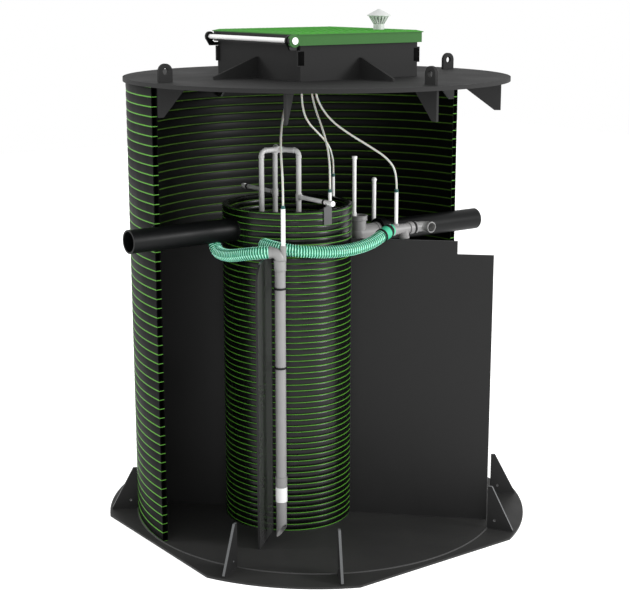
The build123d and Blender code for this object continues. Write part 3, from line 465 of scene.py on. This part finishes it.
def wound_skin(bm, center_x, radius, inward, high, pitch, sweep, columns, phase, seam=1, skin=0):
    """One face of a wound wall, spun from the +x side and falling by one pitch in a full turn.

    phase is how far the turns are shifted up, as a part of the pitch. seam and skin are places
    in the piece's list of materials.
    """
    sign = 1 if inward else -1
    turns = int((high - WALL_LOW) / pitch) + 2
    profile = [(center_x + radius + sign * dip, 0, WALL_LOW + (k + t + phase) * pitch)
               for k in range(-1, turns + 1) for t, dip in BAND]
    part = bmesh.new()
    bmesh.ops.spin(part, geom=wire(part, profile), cent=(center_x, 0, 0), axis=(0, 0, 1),
                   dvec=(0, 0, -pitch * sweep / (2 * pi) / columns), angle=sweep, steps=columns)
    for f in part.faces:
        c = f.calc_center_median()
        t = ((c.z - WALL_LOW) / pitch - phase + atan2(c.y, c.x - center_x) / (2 * pi)) % 1
        f.material_index = seam if min(t, 1 - t) < WELD_EDGE else skin
    join(bm, part)


def trim(bm, low, high):
    """Saws a wall off level at its foot and its top."""
    for z, direction in ((low, -1), (high, 1)):
        geometry = bm.verts[:] + bm.edges[:] + bm.faces[:]
        bmesh.ops.bisect_plane(bm, geom=geometry, plane_co=(0, 0, z), plane_no=(0, 0, direction),
                               clear_outer=True)


def pipe_hole(bm, x_low, x_high, z):
    """Opens a wall for a level pipe: points in the hole move to its edge, and faces in it go."""
    radius = PIPE + 0.0005
    inside = {v for v in bm.verts
              if x_low < v.co.x < x_high and Vector((v.co.y, v.co.z - z)).length < radius}
    gone = [f for f in bm.faces if all(v in inside for v in f.verts)]
    bmesh.ops.delete(bm, geom=gone, context="FACES_ONLY")
    for v in inside:
        d = Vector((v.co.y, v.co.z - z))
        d = d.normalized() * radius if d.length > 1e-6 else Vector((0, radius))
        v.co.y, v.co.z = d.x, z + d.y


# Thicknesses in the cut profile: skins, half a rib, half a weld, and how far ribs are let in
OUTER_SKIN, INNER_SKIN, HALF_RIB, HALF_WELD, LET_IN = 0.0056, 0.0052, 0.0042, 0.0016, 0.0009
CELL_DEPTH = 0.06


def cut_end(bm, side):
    """The cut face of the outer wall at y = 0, on the right (side 1) or the left (side -1).

    It shows the skins, the ribs and the welds in them, and the open cells between.
    """
    seam, cell = WALL_KINDS.index("seam"), WALL_KINDS.index("cell")
    phase = 0.12 if side > 0 else 0
    cell_out, cell_in = WALL_OUT - OUTER_SKIN, WALL_IN + INNER_SKIN

    def face(corners, index):
        f = bm.faces.new([bm.verts.new((side * r, 0, z)) for r, z in corners])
        f.material_index = index

    for k in range(-1, 51):
        foot = WALL_LOW + (k + phase) * PITCH
        head = foot + PITCH
        if head < WALL_LOW or foot > WALL_TOP:
            continue
        low, high = foot + HALF_RIB, head - HALF_RIB
        line = [(foot + t * PITCH, dip) for t, dip in BAND + ((1.0, 0.0005),)]
        for rim, behind, sign in ((WALL_OUT, cell_out, -1), (WALL_IN, cell_in, 1)):
            for (z_a, dip_a), (z_b, dip_b) in zip(line, line[1:]):
                c_a, c_b = (min(max(z, low), high) for z in (z_a, z_b))
                corners = [(rim + sign * dip_a, z_a), (rim + sign * dip_b, z_b), (behind, c_b)]
                if abs(c_a - c_b) > 1e-6:
                    corners.append((behind, c_a))
                face(corners, cell)
        for z_weld, z_cell, step in ((foot, low, HALF_WELD), (head, high, -HALF_WELD)):
            z_rib = z_weld + step
            for z_a, z_b, index in ((z_weld, z_rib, seam), (z_rib, z_cell, cell)):
                face([(WALL_OUT - LET_IN, z_a), (WALL_OUT - LET_IN, z_b), (WALL_IN + LET_IN, z_b),
                      (WALL_IN + LET_IN, z_a)], index)
        mouth = ((cell_out, low), (cell_out, high), (cell_in, high), (cell_in, low))
        front = [bm.verts.new((side * r, 0, z)) for r, z in mouth]
        back = [bm.verts.new((side * r, CELL_DEPTH, z)) for r, z in mouth]
        for i in range(4):
            n = (i + 1) % 4
            bm.faces.new((front[i], front[n], back[n], back[i])).material_index = cell
        bm.faces.new(back).material_index = cell


bm = bmesh.new()
wound_skin(bm, 0, WALL_OUT, False, WALL_TOP, PITCH, pi, 64, 0.5)
wound_skin(bm, 0, WALL_IN, True, WALL_TOP, PITCH, pi, 64, 0.95, seam=3, skin=4)
cut_end(bm, 1)
cut_end(bm, -1)
trim(bm, WALL_LOW, WALL_TOP)
bmesh.ops.remove_doubles(bm, verts=bm.verts, dist=0.00002)
pipe_hole(bm, -1, -0.8, INLET_Z)
pipe_hole(bm, 0.8, 1, OUTLET_Z)
wall = piece("wound_wall", bm, WALL_KINDS)
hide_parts("tank_wall_right", "tank_wall_back_right", "tank_wall_back_left", "tank_wall_left")

bm = bmesh.new()
wound_skin(bm, INNER_X, INNER_OUT, False, INNER_TOP, INNER_PITCH, 2 * pi, 72, 0.909)
wound_skin(bm, INNER_X, INNER_IN, True, INNER_TOP, INNER_PITCH, 2 * pi, 72, 0.909, seam=2)
trim(bm, WALL_LOW, INNER_TOP - 0.001)
rim = bmesh.new()
lathe(rim, (INNER_X, 0, INNER_TOP), (0, 0, 1), [
    (-0.003, INNER_OUT - 0.0002), (-0.001, INNER_OUT - 0.001), (0, INNER_OUT - 0.003),
    (0, INNER_IN + 0.003), (-0.001, INNER_IN + 0.001), (-0.003, INNER_IN + 0.0002)], 72)
join(bm, rim)
bmesh.ops.remove_doubles(bm, verts=bm.verts, dist=0.00002)
pipe_hole(bm, INNER_X - 0.4, INNER_X - 0.2, INLET_Z)
tank = piece("wound_inner_tank", bm, TANK_KINDS)
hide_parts("inner_tank_right", "inner_tank_back", "inner_tank_left", "inner_tank_front")


# Weld beads: round the foot of both walls, and along the feet of the upright plates
def bead(bm, points, radius=0.0035):
    """A fillet bead along a line, with the small swells that a hand weld leaves."""
    tube(bm, spaced([Vector(p) for p in points], 0.006),
         lambda j, i: radius * (1 + 0.1 * sin(j * 1.9)), 6)


def polar(x, radius, angle, z):
    """A point at an angle in degrees round the upright axis at x."""
    return Vector((x + radius * cos(radians(angle)), radius * sin(radians(angle)), z))


def foot_circle(x, radius):
    """A circle of points on the base plate."""
    return [polar(x, radius, angle, WALL_LOW) for angle in range(0, 361, 2)]


def face_offsets(angle, thickness):
    """From the middle of an upright plate that points outwards at an angle, to its two faces."""
    across = Vector((-sin(radians(angle)), cos(radians(angle)), 0))
    return [across * side * thickness / 2 for side in (-1, 1)]


def plate_beads(bm, angle, thickness, x, near, far, z, radius=0.0035):
    """The two beads at the foot of such a plate."""
    for off in face_offsets(angle, thickness):
        bead(bm, [polar(x, near, angle, z) + off, polar(x, far, angle, z) + off], radius)


bm = bmesh.new()
bead(bm, foot_circle(0, WALL_OUT + 0.001), 0.0045)
piece("base_ring_bead", bm, ["weld"])
bm = bmesh.new()
bead(bm, foot_circle(INNER_X, INNER_OUT), 0.004)
for corner in (45, 135, 225, 315):
    for turn in (-15, 15):
        plate_beads(bm, corner + turn, 0.012, 0, WALL_OUT + 0.003, WALL_OUT + 0.128, WALL_LOW)
plate_beads(bm, -45, 0.010, INNER_X, INNER_OUT + 0.002, 0.985, WALL_LOW)
plate_beads(bm, -140, 0.010, INNER_X, INNER_OUT + 0.002, 0.546, WALL_LOW)
piece("base_weld_beads", bm, ["base_sheet"])

bm = bmesh.new()
for sx, sy in ((1, 0), (0, 1), (-1, 0), (0, -1)):
    middle, half = Vector((sx * RISER, sy * RISER, DECK)), Vector((sy, sx, 0)) * RISER
    bead(bm, [middle - half, middle + half])
for angle in (0, 90, 180, 270):
    plate_beads(bm, angle, 0.012, 0, RISER + 0.002, RISER + 0.240, DECK, 0.003)
    plate_beads(bm, angle, 0.015, 0, 0.809, 0.877, DECK, 0.003)
piece("top_weld_beads", bm, ["top_sheet"])


def box(bm, at, size, turn=Matrix()):
    """A block with its middle at a place."""
    place = Matrix.Translation(at) @ turn @ Matrix.Diagonal((*size, 1))
    bmesh.ops.create_cube(bm, size=1, matrix=place)


# Thin near-black blocks in the slots at the riser's corners: painted shade of the slots
bm = bmesh.new()
for sx in (-1, 1):
    for sy in (-1, 1):
        box(bm, Vector((sx * 0.3385, sy * 0.3413, 2.296)), (0.0345, 0.0042, 0.0620))
bmesh.ops.bevel(bm, geom=bm.edges[:], offset=0.0012, segments=2, profile=0.5, affect="EDGES",
                material=-1)
piece("corner_slot_shades", bm, ["slot_shade_black"])

# Saddle-shaped beads where the level pipes pass through the walls
bm = bmesh.new()
for sign, x0, radius, level in (
        (1, 0, WALL_OUT, OUTLET_Z), (1, 0, WALL_IN, OUTLET_Z), (-1, 0, WALL_OUT, INLET_Z),
        (-1, 0, WALL_IN, INLET_Z), (-1, INNER_X, INNER_OUT, INLET_Z)):
    track = []
    for degrees in (range(-180, 181, 8) if x0 else range(-84, 85, 6)):
        a = radians(degrees)
        y = (PIPE + 0.001) * cos(a)
        track.append((x0 + sign * sqrt(radius ** 2 - y ** 2), y, level + (PIPE + 0.001) * sin(a)))
    bead(bm, track, 0.003)
piece("pipe_weld_beads", bm, ["black_pipe"])


# Moulded collars and sockets on the pipe fittings
def collar(bm, at, axis, length, radius, bore, count=32):
    """A short ring with eased edges, open where the pipe fills it."""
    lip = min(0.0012, (radius - bore) / 2)
    lathe(bm, at, axis, [(0, bore), (0, radius - lip), (lip, radius), (length - lip, radius),
                         (length, radius - lip), (length, bore)], count)


UP, RIGHT = Vector((0, 0, 1)), Vector((1, 0, 0))
LEGS = ((-0.170, -0.086), (-0.170, 0.113), (-0.318, 0.013))
BRANCH_Z = 1.848
hub = Vector((sum(x for x, y in LEGS) / 3, sum(y for x, y in LEGS) / 3, BRANCH_Z))
bm = bmesh.new()
for x, y in LEGS:
    leg = Vector((x, y, BRANCH_Z))
    toward = (hub - leg).normalized()
    collar(bm, (x, y, 1.812), UP, 0.015, 0.0142, 0.0120)
    collar(bm, leg + toward * 0.020, toward, 0.011, 0.0142, 0.0120)
    collar(bm, hub - toward * 0.028, toward, 0.011, 0.0142, 0.0120)
for (x, y), sign in ((LEGS[0], -1), (LEGS[1], 1)):
    collar(bm, (x, y, 1.606), UP, 0.038, 0.0150, 0.0120)
    collar(bm, (x, y + sign * 0.012, 1.625), (0, sign, 0), 0.016, 0.0130, 0.0100)
piece("manifold_collars", bm, ["light_pvc"])

bm = bmesh.new()
out = polar(0, 1, 140, 0)
collar(bm, LIFT + out * 0.038 + UP * 1.428, out, 0.013, 0.0285, 0.0245)
collar(bm, LIFT + UP * 1.344, UP, 0.004, 0.0295, 0.0255)
collar(bm, LIFT + UP * 1.386, UP, 0.006, 0.0290, 0.0245)
piece("lift_collars", bm, ["mid_pvc"])
DELIVERY_Y, DELIVERY_Z = -0.347, 1.461
bm = bmesh.new()
collar(bm, (0.1962, DELIVERY_Y, DELIVERY_Z), RIGHT, 0.014, 0.0285, 0.0245)
collar(bm, (0.273, DELIVERY_Y, 1.415), UP, 0.012, 0.0275, 0.0240)
collar(bm, (0.336, DELIVERY_Y, DELIVERY_Z), RIGHT, 0.013, 0.0290, 0.0245)
piece("delivery_collars", bm, ["grey_pvc"])
bm = bmesh.new()
collar(bm, (0.407, -0.3985, DELIVERY_Z), (0, 1, 0), 0.012, 0.0272, 0.0245)
piece("elbow_collar", bm, ["mid_pvc"])

TEE_X = 0.262
bm = bmesh.new()
for level, length, radius, bore in ((1.478, 0.005, 0.0470, 0.0372), (1.458, 0.004, 0.0465, 0.0400),
                                    (1.250, 0.006, 0.0415, 0.0372)):
    collar(bm, (TEE_X, 0, level), UP, length, radius, bore, 48)
collar(bm, (0.368, 0, OUTLET_Z), RIGHT, 0.020, 0.0485, 0.0448, 48)
piece("tee_collars", bm, ["grey_pvc"])

# Ears of the two clamps behind the airlift pipe
CLAMPS = (0.879, 1.256)
back = (Vector((INNER_X, 0, 0)) - LIFT).normalized()
across = Vector((-back.y, back.x, 0))
turn = Matrix.Rotation(atan2(back.y, back.x), 4, "Z")
bm = bmesh.new()
for level in CLAMPS:
    for side in (-1, 1):
        at = LIFT + back * 0.036 + across * side * 0.009 + UP * (level + 0.0045)
        box(bm, at, (0.016, 0.003, 0.009), turn)
piece("clamp_ears", bm, ["black_rubber"])

# Bolts through those ears, and the screw housing of the clamp on the delivery hose
bm = bmesh.new()
for level in CLAMPS:
    at = LIFT + back * 0.038 - across * 0.016 + UP * (level + 0.0045)
    lathe(bm, at, across, [(0, 0), (0, 0.004), (0.003, 0.004), (0.003, 0.002), (0.030, 0.002),
                           (0.030, 0)], 12)
lean = polar(0, 1, 201, 0)
cross = Vector((-lean.y, lean.x, 0))
housing = Vector((0.196, DELIVERY_Y, DELIVERY_Z)) + lean * 0.033 + UP * 0.0335
lathe(bm, housing - cross * 0.010, cross, [(0, 0), (0, 0.0035), (0.003, 0.0042), (0.020, 0.0042),
                                           (0.020, 0)], 12)
piece("clamp_bolts", bm, ["steel"])

# Raised lozenges on the lid, in two directions by turns, with room for the vent
LOZENGE_STEP, LOZENGE_HALF, LOZENGE_SIDE, LOZENGE_HEIGHT = 0.024, 0.010, 0.0034, 0.0012
bm = bmesh.new()
for i in range(-13, 14):
    for j in range(-13, 14):
        at = Vector((i * LOZENGE_STEP, j * LOZENGE_STEP, LID_TOP))
        if Vector((at.x - VENT_X, at.y - VENT_Y)).length < 0.045:
            continue
        angle = 45 if (i + j) % 2 else -45
        long, short = polar(0, LOZENGE_HALF, angle, 0), polar(0, LOZENGE_SIDE, angle + 90, 0)
        foot = [at + long, at + short, at - long, at - short]
        top = [at + (p - at) * 0.55 + UP * LOZENGE_HEIGHT for p in foot]
        low = [bm.verts.new(p) for p in foot]
        high = [bm.verts.new(p) for p in top]
        for k in range(4):
            n = (k + 1) % 4
            bm.faces.new((low[k], low[n], high[n], high[k]))
        bm.faces.new(high)
piece("lid_tread_pattern", bm, ["lid_tread"], "lid", smooth=False)

# Cone-shaped cap of the vent, with a thin rim
bm = bmesh.new()
lathe(bm, (VENT_X, VENT_Y, 2.475), UP, [
    (0, 0), (0, 0.0560), (0.0010, 0.0570), (0.0035, 0.0570), (0.0050, 0.0555), (0.0110, 0.0445),
    (0.0175, 0.0320), (0.0238, 0.0195), (0.0285, 0.0105), (0.0318, 0.0050), (0.0330, 0)], 48)
cap = piece("vent_cone_cap", bm, ["vent_plastic"], "lid")
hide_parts("vent_cap")

# Nuts of the hose glands inside the riser, where the air hoses start
bm = bmesh.new()
for length, route in AIR_HOSES.values():
    y, z = route[0].yz
    lathe(bm, (-0.3308, y, z), RIGHT, [(0, 0.0092), (0, 0.0130), (0.0045, 0.0130), (0.0055, 0.0118),
                                       (0.0055, 0.0092)], 6)
    lathe(bm, (-0.3180, y, z), RIGHT, [(0, 0.0092), (0, 0.0108), (0.0022, 0.0100), (0.0030, 0.0055)],
          24)
piece("gland_nuts", bm, ["hose_fitting"], smooth=False)

# Collets of the hose connectors, where the air hoses end
bm = bmesh.new()
for length, route in AIR_HOSES.values():
    collar(bm, route[-1] - UP * 0.0146, UP, 0.004, 0.0105, 0.0088, 24)
    collar(bm, route[-1] - UP * 0.0030, UP, 0.0034, 0.0082, 0.0051, 24)
piece("connector_collets", bm, ["hose_fitting"])

# Upright beads where the dividing plates meet the inner tank
bm = bmesh.new()
for angle, top in ((-45, 1.356), (135, 1.420), (-140, 1.385)):
    for off in face_offsets(angle, 0.010):
        at = polar(INNER_X, INNER_OUT - 0.0005, angle, 0) + off
        bead(bm, [at + UP * (WALL_LOW + 0.004), at + UP * (top - 0.003)], 0.003)
piece("plate_weld_beads", bm, ["base_sheet"])

# Bolts of the rear hinge bracket: a washer under a six-sided head
bm = bmesh.new()
for x in (-0.338, -0.322):
    lathe(bm, (x, 0.3548, 2.341), (0, 1, 0), [(0, 0), (0, 0.0060), (0.0008, 0.0060), (0.0008, 0)], 24)
    lathe(bm, (x, 0.3554, 2.341), (0, 1, 0), [(0, 0), (0, 0.0046), (0.0028, 0.0046), (0.0034, 0.0040),
                                              (0.0034, 0)], 6)
piece("bracket_bolts", bm, ["steel"], smooth=False)

# Floor, sky and lights
bpy.ops.mesh.primitive_plane_add(size=30, location=(0, 0, -0.0005))
floor = bpy.context.object
floor.name = "floor"
paper = surface("white_studio_floor", "f4f4f4", "ffffff", (0.6, 0.7), (1, 1, 1), 0.0, 10,
                specular=0.1)
glow = paper.node_tree.nodes["Principled BSDF"].inputs
glow["Emission Color"].default_value = (1, 1, 1, 1)
glow["Emission Strength"].default_value = 0.45
floor.data.materials.append(paper)
world = bpy.data.worlds.new("studio")
world.use_nodes = True
sky = world.node_tree.nodes["Background"].inputs
sky["Color"].default_value = (1, 1, 1, 1)
sky["Strength"].default_value = 1.0
scene.world = world


def area(name, at, target, size, power):
    """A square soft light at a place, turned towards a target."""
    light = bpy.data.lights.new(name, "AREA")
    light.size = size
    light.energy = power
    o = bpy.data.objects.new(name, light)
    o.location = at
    o.rotation_euler = (Vector(target) - Vector(at)).to_track_quat("-Z", "Y").to_euler()
    scene.collection.objects.link(o)


area("front", (3.0, -5.2, 3.1), (0, 0, 1.6), 1.5, 230)
area("low", (-2.4, -5.6, 2.0), (0, 0, 1.5), 1.2, 18)
area("side", (-4.8, 2.4, 2.5), (-0.4, 0, 1.7), 0.9, 62)
